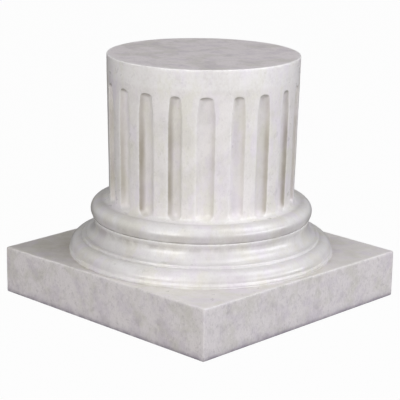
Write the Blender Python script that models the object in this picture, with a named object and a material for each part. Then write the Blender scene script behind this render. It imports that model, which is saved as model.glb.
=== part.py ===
"""Pedestal column: a short fluted drum on a round moulded base and a square plinth, cast in one piece.

Metres, +Z up. The origin is the middle of the underside, on the surface that the plinth stands on.
"""

import math

import bmesh
import bpy

# Plinth
PLINTH_HEIGHT = 0.0540
PLINTH_MARGIN = 0.0079  # from the foot of the lower roll to the middle of each side of the plinth
PLINTH_EDGE_RADIUS = 0.0016

# Shaft
SHAFT_HEIGHT = 0.1675  # from the upper roll of the base to the top face
SHAFT_FOOT_RADIUS = 0.1048
SHAFT_FLARE = 0.0032  # the shaft is this much larger in radius at the top than at its foot
TOP_EDGE_RADIUS = 0.0014
SHAFT_SPREAD = 0.0045  # how far the shaft curves out where it meets the base
SHAFT_SPREAD_HEIGHT = 0.0052

# Flutes
FLUTE_COUNT = 20
FLUTE_WIDTH = 0.0178
FLUTE_DEPTH = 0.0054
FLUTE_TOP_BAND = 0.0300  # plain band above the flutes
FLUTE_FOOT_BAND = 0.0050  # plain band below the flutes

# Upper roll of the base and the narrow fillet under it. Each projection is measured from the foot of the shaft
UPPER_ROLL_RADIUS = 0.0110  # of its section
UPPER_ROLL_PROJECTION = 0.0208
UPPER_ROLL_LIFT = 0.0078  # from the upper fillet to the middle of the roll
UPPER_ROLL_END = -42.0  # degrees, where the underside of the roll turns into the fillet
UPPER_FILLET_PROJECTION = 0.0186
UPPER_FILLET_HEIGHT = 0.0059
UPPER_FILLET_LEAN = 0.0016  # its face leans in this much at the bottom

# Hollow between the two rolls
HOLLOW_HEIGHT = 0.0141
HOLLOW_PROJECTION = 0.0258  # of its lower edge

# Lower fillet, lower roll and the thin lip that overhangs the plinth at its foot
LOWER_FILLET_PROJECTION = 0.0302
LOWER_FILLET_HEIGHT = 0.0032
LOWER_FILLET_FALL = 0.0007  # its top falls this much outwards
LOWER_ROLL_RADIUS = 0.0120
LOWER_ROLL_PROJECTION = 0.0444
LOWER_ROLL_LIFT = 0.0054  # from the top of the plinth to the middle of the roll
LOWER_ROLL_END = 10.0  # degrees, where the roll turns out into the lip
LIP_PROJECTION = 0.0010  # beyond the lower roll
LIP_RADIUS = 0.0009
LIP_START = 70.0  # degrees, the upper end of its rounded edge
LIP_END = -60.0  # degrees, the lower end of its rounded edge
LIP_LIFT = 0.0030  # from the top of the plinth to the middle of the lip
LIP_UNDERCUT = 0.0006  # how far the foot of the roll stands back under the lip

# Fineness of the solid
TURN_STEPS = 80
CUTTER_SIDES = 16
DRUM_SOCKET = 0.0100  # how deep the turned part reaches into the plinth
SHARPEST_SMOOTH_ANGLE = 32.0  # degrees, between faces that are shaded as one surface


def meeting_angle(centre_radius, section_radius, face_radius):
    """The angle, in radians, at which a roll's section meets an upright face on its inner side."""
    return math.acos((face_radius - centre_radius) / section_radius)


# Radii worked out from the sizes above
SHAFT_TOP_RADIUS = SHAFT_FOOT_RADIUS + SHAFT_FLARE
SPREAD_RADIUS = SHAFT_FOOT_RADIUS + SHAFT_SPREAD
UPPER_ROLL_CENTRE = SHAFT_FOOT_RADIUS + UPPER_ROLL_PROJECTION - UPPER_ROLL_RADIUS
UPPER_FILLET_RADIUS = SHAFT_FOOT_RADIUS + UPPER_FILLET_PROJECTION
HOLLOW_TOP_RADIUS = UPPER_FILLET_RADIUS - UPPER_FILLET_LEAN
HOLLOW_FOOT_RADIUS = SHAFT_FOOT_RADIUS + HOLLOW_PROJECTION
LOWER_FILLET_RADIUS = SHAFT_FOOT_RADIUS + LOWER_FILLET_PROJECTION
LOWER_ROLL_CREST = SHAFT_FOOT_RADIUS + LOWER_ROLL_PROJECTION
LOWER_ROLL_CENTRE = LOWER_ROLL_CREST - LOWER_ROLL_RADIUS
LIP_CREST = LOWER_ROLL_CREST + LIP_PROJECTION
LOWER_ROLL_FOOT_RADIUS = LIP_CREST - LIP_UNDERCUT
PLINTH_SIDE = 2 * (LOWER_ROLL_FOOT_RADIUS + PLINTH_MARGIN)

# Heights worked out from the sizes above
UPPER_ROLL_START = meeting_angle(UPPER_ROLL_CENTRE, UPPER_ROLL_RADIUS, SPREAD_RADIUS)
LOWER_ROLL_START = meeting_angle(LOWER_ROLL_CENTRE, LOWER_ROLL_RADIUS, LOWER_FILLET_RADIUS)
LOWER_ROLL_Z = PLINTH_HEIGHT + LOWER_ROLL_LIFT
LOWER_FILLET_FOOT_Z = LOWER_ROLL_Z + LOWER_ROLL_RADIUS * math.sin(LOWER_ROLL_START)
LOWER_FILLET_Z = LOWER_FILLET_FOOT_Z + LOWER_FILLET_HEIGHT
HOLLOW_FOOT_Z = LOWER_FILLET_Z + LOWER_FILLET_FALL
HOLLOW_TOP_Z = HOLLOW_FOOT_Z + HOLLOW_HEIGHT
UPPER_FILLET_Z = HOLLOW_TOP_Z + UPPER_FILLET_HEIGHT
UPPER_ROLL_Z = UPPER_FILLET_Z + UPPER_ROLL_LIFT
SHAFT_FOOT_Z = UPPER_ROLL_Z + UPPER_ROLL_RADIUS * math.sin(UPPER_ROLL_START)
TOP_Z = SHAFT_FOOT_Z + SHAFT_HEIGHT
SHAFT_LEAN = math.atan2(SHAFT_FLARE, SHAFT_HEIGHT)


def arc(centre_radius, centre_z, section_radius, start, end, segments):
    """Points (radius from the axis, height) along an arc, from one angle in radians to another."""
    angles = [start + (end - start) * i / segments for i in range(segments + 1)]
    return [
        (centre_radius + section_radius * math.cos(a), centre_z + section_radius * math.sin(a))
        for a in angles
    ]


def hollow(top, foot, segments):
    """Points along a concave quarter of an ellipse, upright at the top and level at the foot."""
    wide, high = foot[0] - top[0], top[1] - foot[1]
    turns = [math.pi / 2 * i / segments for i in range(segments + 1)]
    return [(foot[0] - wide * math.cos(t), top[1] - high * math.sin(t)) for t in turns]


def shaft_profile():
    """The top face, its rounded edge, the side of the shaft and the spread at its foot."""
    edge_centre = SHAFT_TOP_RADIUS - TOP_EDGE_RADIUS
    edge = arc(edge_centre, TOP_Z - TOP_EDGE_RADIUS, TOP_EDGE_RADIUS, math.pi / 2, 0, 2)
    spread_top = (SHAFT_FOOT_RADIUS, SHAFT_FOOT_Z + SHAFT_SPREAD_HEIGHT)
    spread = hollow(spread_top, (SPREAD_RADIUS, SHAFT_FOOT_Z), 3)
    return [(0.0, TOP_Z)] + edge + spread[:-1]


def upper_roll_profile():
    """The upper roll and the fillet under it."""
    end = math.radians(UPPER_ROLL_END)
    roll = arc(UPPER_ROLL_CENTRE, UPPER_ROLL_Z, UPPER_ROLL_RADIUS, UPPER_ROLL_START, end, 9)
    return roll + [(UPPER_FILLET_RADIUS, UPPER_FILLET_Z)]


def hollow_profile():
    """The hollow between the rolls."""
    return hollow((HOLLOW_TOP_RADIUS, HOLLOW_TOP_Z), (HOLLOW_FOOT_RADIUS, HOLLOW_FOOT_Z), 6)


def lower_roll_profile():
    """The lower fillet, the lower roll and the lip at its foot."""
    end = math.radians(LOWER_ROLL_END)
    roll = arc(LOWER_ROLL_CENTRE, LOWER_ROLL_Z, LOWER_ROLL_RADIUS, LOWER_ROLL_START, end, 6)
    lip_ends = math.radians(LIP_START), math.radians(LIP_END)
    lip = arc(LIP_CREST - LIP_RADIUS, PLINTH_HEIGHT + LIP_LIFT, LIP_RADIUS, *lip_ends, 3)
    return [(LOWER_FILLET_RADIUS, LOWER_FILLET_Z)] + roll + lip


def column_profile():
    """The whole turned outline, from the middle of the top face down to the axis inside the plinth."""
    socket_z = PLINTH_HEIGHT - DRUM_SOCKET
    foot = [(LOWER_ROLL_FOOT_RADIUS, PLINTH_HEIGHT), (LOWER_ROLL_FOOT_RADIUS, socket_z)]
    base = upper_roll_profile() + hollow_profile() + lower_roll_profile() + foot
    return shaft_profile() + base + [(0.0, socket_z)]


def profile_mesh(name, profile):
    """A chain of edges in the XZ plane, for a Screw modifier to turn about Z."""
    mesh = bpy.data.meshes.new(name)
    points = [(radius, 0.0, height) for radius, height in profile]
    mesh.from_pydata(points, [(i, i + 1) for i in range(len(points) - 1)], [])
    return mesh


def add_object(name, mesh):
    """An object for a mesh, in the scene."""
    made = bpy.data.objects.new(name, mesh)
    bpy.context.scene.collection.objects.link(made)
    return made


def make_helper(made):
    """Marks an object as one that only joins or cuts another."""
    made.hide_render = True
    made.display_type = "WIRE"


def add_boolean(made, name, other, operation):
    """A Boolean that leaves both objects editable."""
    boolean = made.modifiers.new(name, "BOOLEAN")
    boolean.operation = operation
    boolean.solver = "EXACT"
    boolean.object = other


def turned_column():
    """The shaft and the round base, turned from the outline."""
    column = add_object("pedestal_column", profile_mesh("pedestal_column", column_profile()))
    turning = column.modifiers.new("turning", "SCREW")
    turning.axis = "Z"
    turning.angle = math.tau
    turning.steps = TURN_STEPS
    turning.render_steps = TURN_STEPS
    turning.use_merge_vertices = True
    turning.merge_threshold = 0.00001
    return column


def plinth():
    """The square plinth with softened edges."""
    shape = bmesh.new()
    bmesh.ops.create_cube(shape, size=1.0)
    bmesh.ops.scale(shape, vec=(PLINTH_SIDE, PLINTH_SIDE, PLINTH_HEIGHT), verts=shape.verts)
    bmesh.ops.translate(shape, vec=(0, 0, PLINTH_HEIGHT / 2), verts=shape.verts)
    mesh = bpy.data.meshes.new("plinth")
    shape.to_mesh(mesh)
    shape.free()
    made = add_object("plinth", mesh)
    softening = made.modifiers.new("softening", "BEVEL")
    softening.width = PLINTH_EDGE_RADIUS
    softening.segments = 2
    make_helper(made)
    return made


def add_flute_cutter(shape, angle):
    """One round-nosed cutter, upright beside the shaft and leaning with its side."""
    half_width = FLUTE_WIDTH / 2
    radius = (half_width**2 + FLUTE_DEPTH**2) / (2 * FLUTE_DEPTH)
    foot_z = SHAFT_FOOT_Z + FLUTE_FOOT_BAND + half_width
    head_z = TOP_Z - FLUTE_TOP_BAND - half_width
    offset = radius - FLUTE_DEPTH
    rounds = CUTTER_SIDES // 4
    steps = range(rounds + 1)
    heights = [foot_z - radius * math.cos(math.pi / 2 * i / rounds) for i in steps]
    heights += [head_z + radius * math.sin(math.pi / 2 * i / rounds) for i in steps]
    radii = [radius * math.sin(math.pi / 2 * i / rounds) for i in steps]
    radii += radii[::-1]
    out = (math.cos(angle), math.sin(angle))
    rings = []
    for ring_radius, height in zip(radii, heights):
        middle = SHAFT_FOOT_RADIUS + offset + (height - SHAFT_FOOT_Z) * math.tan(SHAFT_LEAN)
        sides = 1 if ring_radius < 1e-6 else CUTTER_SIDES
        ring = []
        for side in range(sides):
            turn = math.tau * (side + 0.5) / CUTTER_SIDES
            away = middle + ring_radius * math.cos(turn)
            along = ring_radius * math.sin(turn)
            place = (away * out[0] - along * out[1], away * out[1] + along * out[0], height)
            ring.append(shape.verts.new(place))
        rings.append(ring)
    for low, high in zip(rings, rings[1:]):
        for side in range(CUTTER_SIDES):
            following = (side + 1) % CUTTER_SIDES
            corners = [low[side % len(low)], low[following % len(low)]]
            corners += [high[following % len(high)], high[side % len(high)]]
            shape.faces.new(list(dict.fromkeys(corners)))


def flute_cutters():
    """All the cutters, one of them on each diagonal of the plinth."""
    shape = bmesh.new()
    for flute in range(FLUTE_COUNT):
        add_flute_cutter(shape, math.pi / 4 + math.tau * flute / FLUTE_COUNT)
    mesh = bpy.data.meshes.new("flute_cutters")
    shape.to_mesh(mesh)
    shape.free()
    made = add_object("flute_cutters", mesh)
    make_helper(made)
    return made


def cast_stone():
    """Aged off-white cast stone."""
    material = bpy.data.materials.new("cast_stone")
    material.use_nodes = True
    shader = material.node_tree.nodes["Principled BSDF"]
    shader.inputs["Base Color"].default_value = (0.66, 0.63, 0.60, 1.0)
    shader.inputs["Roughness"].default_value = 0.55
    shader.inputs["Metallic"].default_value = 0.0
    return material


def make_solid(made):
    """Turns an object's modifiers into its mesh, shaded smooth except at its arrises."""
    graph = bpy.context.evaluated_depsgraph_get()
    solid = bpy.data.meshes.new_from_object(made.evaluated_get(graph))
    made.modifiers.clear()
    made.data = solid
    solid.shade_smooth()
    solid.set_sharp_from_angle(angle=math.radians(SHARPEST_SMOOTH_ANGLE))


def build():
    """The pedestal column, as one casting."""
    for old in list(bpy.data.objects):
        bpy.data.objects.remove(old, do_unlink=True)
    column = turned_column()
    column.data.materials.append(cast_stone())
    add_boolean(column, "fluting", flute_cutters(), "DIFFERENCE")
    add_boolean(column, "standing on the plinth", plinth(), "UNION")
    make_solid(column)


build()
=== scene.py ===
"""Looks of the pedestal column: one aged casting with a fluted drum, a moulded base and a square plinth.

Metres, +Z up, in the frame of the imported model. The casting is one closed mesh of rows of points that run
round the axis, from the middle of the top face down to the middle of the underside. Each class below lays
down its own rows, marks them for the finish, and hands them on to the casting.
"""

import logging
import math
from collections.abc import Iterable
from dataclasses import dataclass, field
from enum import Enum
from typing import NamedTuple

import bpy
import numpy as np
from mathutils import Matrix, Vector, noise


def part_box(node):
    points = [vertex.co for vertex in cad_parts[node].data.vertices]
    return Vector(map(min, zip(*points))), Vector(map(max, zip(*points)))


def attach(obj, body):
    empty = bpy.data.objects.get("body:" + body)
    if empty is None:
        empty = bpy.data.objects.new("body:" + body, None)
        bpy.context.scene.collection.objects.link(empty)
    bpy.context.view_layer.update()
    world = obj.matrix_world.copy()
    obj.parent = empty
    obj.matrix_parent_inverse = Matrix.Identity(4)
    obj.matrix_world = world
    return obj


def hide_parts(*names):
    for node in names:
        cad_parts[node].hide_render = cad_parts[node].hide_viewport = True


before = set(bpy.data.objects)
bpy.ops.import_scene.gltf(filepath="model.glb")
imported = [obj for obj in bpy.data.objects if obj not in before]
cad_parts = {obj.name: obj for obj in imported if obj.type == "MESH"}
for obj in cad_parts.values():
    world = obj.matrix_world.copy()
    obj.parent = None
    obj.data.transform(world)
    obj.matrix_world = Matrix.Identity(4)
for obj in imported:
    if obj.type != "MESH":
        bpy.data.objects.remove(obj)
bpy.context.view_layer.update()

NODE = "pedestal_column"
QUARTERS = 4
FRONT_ANGLE = -math.pi / 4  # of the plinth's corner that faces the camera
TINY = 1e-9  # keeps a division away from zero
LOG = logging.getLogger("pedestal")

Colour = tuple[float, float, float]
Shift = tuple[float, float, float]

COOL: Colour = (0.985, 0.995, 1.035)  # of the lamps on the right


class Mark(Enum):
    """What a point of the casting is marked with, for its finish."""

    # Glaze in the flutes; on the round base and the plinth's top this mark is painted shade and painted
    # shadow.
    GLAZE = "thin_glaze"
    # Dirt in the creases, with painted shade and painted shadow in those of the base and the plinth.
    CREVICE = "crevice_dirt"
    # Worn edges, with painted highlights and painted light on the drum and the base.
    WORN = "worn_edge"
    TOP = "top_face"
    BLOCK = "plinth_side"
    # Painted shade: a violet darkening at the foot of the plinth and over the rolls.
    GRIME = "foot_grime"
    BASE = "round_base"


@dataclass
class Rows:
    """Rows of points round the axis, from the top down, with the marks of each point."""

    places: np.ndarray
    marks: dict[Mark, np.ndarray]

    @staticmethod
    def of(places: np.ndarray, **marks: np.ndarray | float) -> "Rows":
        """Rows with some marks given, and the others at zero.

        Args:
            places: The points, as rows, columns and axes.
            marks: Values by the name of their mark in lower case, one for each point, each row or all rows.

        Returns:
            The rows, with every mark filled in.
        """
        shape = places.shape[:2]
        filled = {}
        for mark in Mark:
            value = np.asarray(marks.get(mark.name.lower(), 0.0), dtype=float)
            value = value[:, None] if value.ndim == 1 else value
            filled[mark] = np.broadcast_to(value, shape).astype(float)
        return Rows(places, filled)

    @staticmethod
    def joined(parts: Iterable["Rows"]) -> "Rows":
        """All the rows of some parts, one part under another.

        Args:
            parts: The rows of each part, from the top down.

        Returns:
            The rows of all of them.
        """
        parts = list(parts)
        places = np.concatenate([part.places for part in parts])
        marks = {mark: np.concatenate([part.marks[mark] for part in parts]) for mark in Mark}
        return Rows(places, marks)


def smooth(value: np.ndarray | float, low: float, high: float) -> np.ndarray:
    """A smooth step from 0 at low to 1 at high."""
    share = np.clip((value - low) / (high - low), 0.0, 1.0)
    return share * share * (3.0 - 2.0 * share)


def hump(value: np.ndarray, middle: float, width: float) -> np.ndarray:
    """A bell-shaped bump of height 1 round a middle value."""
    return np.exp(-(((value - middle) / width) ** 2))


def below(heights: np.ndarray, level: float, start: float, end: float) -> np.ndarray:
    """A smooth step from 0 to 1 between two depths below a level."""
    return smooth(-heights, -level + start, -level + end)


def between(first: tuple[float, ...], second: tuple[float, ...], share: float) -> tuple[float, ...]:
    """The place a share of the way from one place to another."""
    return tuple(a + (b - a) * share for a, b in zip(first, second))


def arc(centre: tuple[float, float], section: float, start: float, end: float, steps: int) -> list[tuple]:
    """Points along the arc of a moulding's section.

    Args:
        centre: Radius from the axis, and height, of the middle of the arc.
        section: Radius of the arc.
        start: First angle in degrees, from outwards towards up.
        end: Last angle in degrees.
        steps: Number of spaces between the points.

    Returns:
        Pairs of radius and height, both ends included.
    """
    turns = [math.radians(start + (end - start) * i / steps) for i in range(steps + 1)]
    return [(centre[0] + section * math.cos(t), centre[1] + section * math.sin(t)) for t in turns]


@dataclass
class Columns:
    """The upright lines of points that all parts share, gathered where the edges of the flutes run."""

    flutes: int = 20
    flute_width: float = 0.0178
    round_radius: float = 0.1064  # of the drum, where the flutes' widths are measured
    gathered: tuple[float, ...] = (0.18, 0.36, 0.54, 0.70, 0.83, 0.93, 1.0, 1.06, 1.16, 1.34, 1.60)

    @property
    def half(self) -> float:
        """Half the width of a flute."""
        return self.flute_width / 2

    @property
    def fillet(self) -> float:
        """Where the middle of a fillet lies, in half widths from the middle of a flute."""
        return math.pi / self.flutes * self.round_radius / self.half

    @property
    def across(self) -> np.ndarray:
        """Each column's place across its own flute, in half widths."""
        back = [-value for value in reversed(self.gathered)]
        return np.tile([0.0, *self.gathered, self.fillet, *back], self.flutes)

    @property
    def flute(self) -> np.ndarray:
        """The number of the flute that each column belongs to."""
        near, far = len(self.gathered) + 2, len(self.gathered)
        return np.concatenate([[k] * near + [(k + 1) % self.flutes] * far for k in range(self.flutes)])

    @property
    def middles(self) -> np.ndarray:
        """The angle of the middle of each column's flute. The first flute lies on the plinth's diagonal."""
        return math.pi / 4 + math.tau * self.flute / self.flutes

    @property
    def angles(self) -> np.ndarray:
        """The angle of each column."""
        return self.middles + self.across * self.half / self.round_radius

    @property
    def count(self) -> int:
        """The number of columns."""
        return len(self.across)

    def turned(self, radii: np.ndarray, heights: np.ndarray) -> np.ndarray:
        """Points of plain rings.

        Args:
            radii: The radius of each ring.
            heights: The height of each ring.

        Returns:
            The points, as rows, columns and axes.
        """
        radii, heights = np.asarray(radii)[:, None], np.asarray(heights)[:, None]
        flat = np.ones((1, self.count))
        return np.stack([radii * np.cos(self.angles), radii * np.sin(self.angles), heights * flat], axis=-1)


@dataclass(frozen=True)
class Flute:
    """How one flute differs from a plain one, and how much glaze was left on its two walls.

    Its turn is a distance round the drum in metres, towards the right seen from outside.
    """

    turn: float = 0.0
    width: float = 1.0
    left: float = 0.35
    right: float = 0.35
    floor: float = 0.0


@dataclass(frozen=True)
class FluteFinish:
    """How glaze, dirt and wear lie in and beside the flutes, with painted shade and painted light among them.

    Reaches are shares of the way from a flute's middle line to its edge. Depths are in metres.
    """

    left_wall: tuple[float, float] = (0.14, 0.84)  # reaches where the glaze begins, and is full
    right_wall: tuple[float, float] = (0.28, 0.90)
    wall_power: float = 1.3
    change: float = 0.3  # reach at which one wall's glaze has given way to the other's
    edge: tuple[float, float] = (1.0, 1.05)  # where the inside of a flute ends
    head: tuple[float, float] = (0.55, 0.95)  # the glaze and painted shade under a head, as on a wall
    # Thicker under the heads, as glaze and as painted shade.
    head_glaze_and_shade: float = 1.1
    # Dirt and painted shade along the underside of each head's edge.
    head_dirt: float = 0.40
    head_dirt_line: tuple[float, float] = (0.93, 0.10)  # its reach and its width
    thinned: float = 0.5  # what is left of the glaze above the next depths
    thinned_depths: tuple[float, float] = (0.012, 0.045)  # below the middle of a head
    washed: float = 0.6  # how much of the glaze is gone at the lower ends
    washed_depth: float = 0.006  # below the middle of a lower end
    foot_margin: float = 0.002  # the base's finish begins this far below an end, and is full above the foot
    foot_shade_film: float = 0.12  # painted shade laid as glaze, on the spread between the lower ends
    foot_line: float = 0.0012  # height of the painted highlight line where the drum meets the base
    # Painted highlight along that line.
    foot_painted_highlight: float = 0.20
    edge_wear: float = 0.40
    edge_line: tuple[float, float] = (1.04, 0.06)
    # Painted light on the right-hand end of each fillet, which turns towards the lamps on the right.
    outer_painted_light: float = 0.30
    outer_band: tuple[float, float, float] = (0.98, 1.05, 1.45)  # it begins, is full, and has gone
    cup_painted_light: float = 0.25  # painted light in the lower ends, which face up
    cup: tuple[float, float] = (0.3, 0.8)

    def glaze(
        self, drum: "Drum", heights: np.ndarray, reach: np.ndarray, under_head: np.ndarray
    ) -> np.ndarray:
        """The glaze that was left on the flutes' walls and floors.

        Args:
            drum: The drum with the flutes.
            heights: The height of each point.
            reach: The reach of each point.
            under_head: How far each point lies under the edge of a head, from 0 to 1.

        Returns:
            The mark of each point.
        """
        right = smooth(drum.columns.across, -self.change, self.change)
        strength = drum.habit("left") * (1.0 - right) + drum.habit("right") * right
        # Glaze and painted shade under the heads.
        strength = strength + (self.head_glaze_and_shade - strength) * under_head
        deep = below(heights, drum.head_z, *self.thinned_depths)
        strength = strength * (self.thinned + (1.0 - self.thinned) * deep)
        inside = 1.0 - smooth(reach, *self.edge)
        wall = smooth(reach, *between(self.left_wall, self.right_wall, right)) ** self.wall_power * inside
        washed = 1.0 - self.washed * below(heights, drum.low_z, 0.0, self.washed_depth)
        return np.maximum(wall * strength * washed, drum.habit("floor") * inside)

    def marks(self, drum: "Drum", heights: np.ndarray, reach: np.ndarray, beyond: np.ndarray) -> dict:
        """All the marks of the points over one stretch of the flutes.

        Args:
            drum: The drum with the flutes.
            heights: The height of each point.
            reach: The reach of each point.
            beyond: How much of that reach lies above the middle of a head.

        Returns:
            Values for each point, by the names of their marks in lower case.
        """
        across, margin = drum.columns.across, self.foot_margin
        under_head = smooth(beyond, *self.head)
        # Dirt and painted shade under the edge of each head.
        crevice = self.head_dirt * under_head * hump(reach, *self.head_dirt_line)
        base = smooth(-heights, -drum.low_z + margin, -drum.foot_z - margin)
        foot_line = below(heights, drum.foot_z, -self.foot_line, 0.0)
        # Painted shade on the spread between the lower ends, kept off the highlight line at the foot.
        shade_film = self.foot_shade_film * base * (1.0 - foot_line)
        glaze = np.maximum(self.glaze(drum, heights, reach, under_head), shade_film)
        begun, full, gone = self.outer_band
        outer = (1.0 - smooth(-across, full, gone)) * smooth(-across, begun, full)
        cup = below(heights, drum.low_z, 0.0, self.washed_depth) * smooth(reach, *self.cup)
        cup = cup * (1.0 - smooth(reach, *self.edge))
        # Worn edges, with painted light on the fillets' right-hand ends and in the lower ends, and a painted
        # highlight at the foot.
        worn = self.edge_wear * hump(reach, *self.edge_line) + self.outer_painted_light * outer
        worn = worn + self.cup_painted_light * cup + self.foot_painted_highlight * foot_line
        return {"glaze": glaze, "worn": worn, "crevice": crevice, "base": base}


@dataclass
class Drum:
    """The fluted drum with its flat top face, its rounded rim and the spread at its foot."""

    columns: Columns
    top_z: float
    foot_z: float = 0.11366
    foot_radius: float = 0.1048
    flare: float = 0.0032
    spread: float = 0.0060
    spread_height: float = 0.0038
    rim_radius: float = 0.0014
    flute_depth: float = 0.0054
    top_band: float = 0.0294
    foot_band: float = 0.0013
    head_rise: float = 0.0056  # height of the round part of the flutes' heads
    foot_fall: float = 0.0070  # and of their lower ends
    pinch: float = 0.18  # how much narrower the flutes are at their heads
    pinch_length: float = 0.0190
    end_power: float = 2.3  # 2 is an ellipse, more is squarer
    floor_power: float = 2.5  # flatness of the flutes' floors
    end_floor_power: float = 1.35  # the same at their ends, which are scooped
    wall_power: float = 0.80
    edge_slope: float = 0.020
    softness: float = 0.00036  # of the edges of the flutes
    head_scoop: tuple[float, float] = (-0.009, 0.001)  # from a head's middle up, its beginning and full depth
    low_scoop: tuple[float, float] = (-0.006, 0.002)  # the same from a lower end's middle down
    low_scoop_share: float = 0.6
    top_rings: tuple[float, ...] = (0.0, 0.06, 0.2, 0.36, 0.52, 0.67, 0.80, 0.90, 0.96, 0.985)
    rim_steps: int = 5
    rim_wear: tuple[float, ...] = (0.25, 0.8, 1.0, 1.0, 0.8, 0.5, 0.3)  # on the last rings of the top
    rim_top: tuple[float, ...] = (0.75, 0.45, 0.2, 0.05, 0.0)  # how the top's finish ends over the rim
    # Painted light: the plain band under the top is made lighter all round.
    band_painted_light: float = 0.5
    band_points: int = 7
    middle_points: int = 31
    spread_points: tuple[float, ...] = (0.12, 0.25, 0.4, 0.56, 0.72, 0.86, 0.95, 0.985, 1.0)
    finish: FluteFinish = FluteFinish()
    half_round: tuple[Flute, ...] = (
        Flute(0.0, 1.0, 0.5, 0.5, 0.1),
        Flute(0.0, 1.0, 0.6, 0.3, 0.1),
        Flute(0.0, 1.0, 0.6, 0.3, 0.1),
        Flute(0.0002, 1.06, 1.0, 0.15, 0.14),
        Flute(0.0016, 0.84, 0.88, 0.1, 0.08),
        Flute(0.0014, 1.10, 0.0, 0.30, 0.0),
        Flute(0.0032, 0.90, 0.0, 0.34, 0.0),
        Flute(0.0010, 0.95, 0.10, 0.85, 0.12),
        Flute(0.0026, 0.85, 0.1, 0.9, 0.1),
        Flute(0.0010, 0.95, 0.2, 0.7, 0.0),
    )

    @property
    def top_radius(self) -> float:
        """Radius of the drum at its top face."""
        return self.foot_radius + self.flare

    @property
    def head_z(self) -> float:
        """Height of the middle of the flutes' round heads."""
        return self.top_z - self.top_band - self.head_rise

    @property
    def low_z(self) -> float:
        """Height of the middle of the flutes' round lower ends."""
        return self.foot_z + self.foot_band + self.foot_fall

    def habit(self, name: str) -> np.ndarray:
        """One of the flutes' differences, for each column. The back has the same flutes as the front."""
        values = np.array([getattr(flute, name) for flute in self.half_round * 2])
        return values[self.columns.flute]

    def side_radius(self, heights: np.ndarray) -> np.ndarray:
        """Radius of the drum's side, with the spread at its foot and without the flutes.

        Args:
            heights: Heights above the floor.

        Returns:
            The radius at each height.
        """
        straight = self.foot_radius + self.flare * (heights - self.foot_z) / (self.top_z - self.foot_z)
        below = np.clip((self.foot_z + self.spread_height - heights) / self.spread_height, 0.0, 1.0)
        return straight + self.spread * (1.0 - np.sqrt(1.0 - below**2))

    def top_rows(self) -> Rows:
        """The flat top face and its rounded rim.

        Returns:
            Their rows, from the middle outwards.
        """
        inner = self.top_radius - self.rim_radius
        radii = [inner * share for share in self.top_rings]
        heights = [self.top_z] * len(radii)
        rim = arc((inner, self.top_z - self.rim_radius), self.rim_radius, 90, 0, self.rim_steps)
        radii += [radius for radius, _ in rim]
        heights += [height for _, height in rim]
        worn, top = np.zeros(len(radii)), np.ones(len(radii))
        worn[-len(self.rim_wear) :] = self.rim_wear
        top[-len(self.rim_top) :] = self.rim_top
        return Rows.of(self.columns.turned(radii, heights), worn=worn, top=top)

    def own_half(self, heights: np.ndarray) -> np.ndarray:
        """Half the width of each column's own flute, at some heights."""
        narrower = smooth(heights, self.head_z - self.pinch_length, self.head_z)
        return self.columns.half * self.habit("width") * (1.0 - self.pinch * narrower)

    def straight_net(self, along: np.ndarray) -> tuple[np.ndarray, ...]:
        """Lays rows over the straight part of the flutes.

        Args:
            along: Shares of the way from the heads down.

        Returns:
            Distance across the flute, height, and distance from the flute's middle line where 1 is its edge.
        """
        columns = self.columns
        share = along[:, None] * np.ones(columns.count)
        heights = self.head_z + (self.low_z - self.head_z) * share
        own = columns.across * self.own_half(heights) + self.habit("turn")
        plain = columns.across * columns.half
        still = smooth(np.abs(columns.across), 1.0, columns.fillet)
        reach = np.abs(columns.across) * np.ones_like(share)
        return own + (plain - own) * still, heights, reach

    def end_net(self, along: np.ndarray, up: bool) -> tuple[np.ndarray, ...]:
        """Lays rows over one end of the flutes, with the lines of the net bent round it.

        Args:
            along: Places beyond the middle of the round end, where 1 is its edge.
            up: True for the heads, False for the lower ends.

        Returns:
            Distance across the flute, height, and distance from the round end's middle where 1 is its edge.
        """
        columns, power = self.columns, self.end_power
        wide, beyond = np.broadcast_arrays(np.abs(columns.across), along[:, None])
        reach = np.maximum(wide, beyond)
        length = (wide**power + beyond**power) ** (1 / power)
        bend = reach / np.maximum(length, TINY)
        rise = self.head_rise if up else -self.foot_fall
        middle = self.head_z if up else self.low_z
        own_z = middle + rise * beyond * bend
        own = columns.across * bend * self.own_half(own_z) + self.habit("turn")
        still_across = smooth(wide, 1.0, columns.fillet)
        still = 1.0 - (1.0 - still_across) * (1.0 - smooth(beyond, 1.0, float(along.max())))
        plain_z = middle + rise * beyond
        return own + (columns.across * columns.half - own) * still, own_z + (plain_z - own_z) * still, reach

    def carved(self, reach: np.ndarray, heights: np.ndarray) -> np.ndarray:
        """Radius of the drum's surface with the flutes cut in and their edges softened.

        Args:
            reach: The reach of each point, where 1 is the edge of its flute.
            heights: The height of each point.

        Returns:
            The radius of each point.
        """
        end = smooth(heights, *(self.head_z + over for over in self.head_scoop))
        end = np.maximum(end, self.low_scoop_share * below(heights, self.low_z, *self.low_scoop))
        floor = self.floor_power + (self.end_floor_power - self.floor_power) * end
        wall = self.wall_power + (1.0 - self.wall_power) * end
        inside = np.clip(1.0 - reach**floor, 0.0, 1.0) ** wall
        cut = np.where(reach < 1.0, self.flute_depth * inside, self.edge_slope * (1.0 - reach))
        cut = (cut + np.sqrt(cut**2 + 4 * self.softness**2)) / 2
        return self.side_radius(heights) - cut

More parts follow.
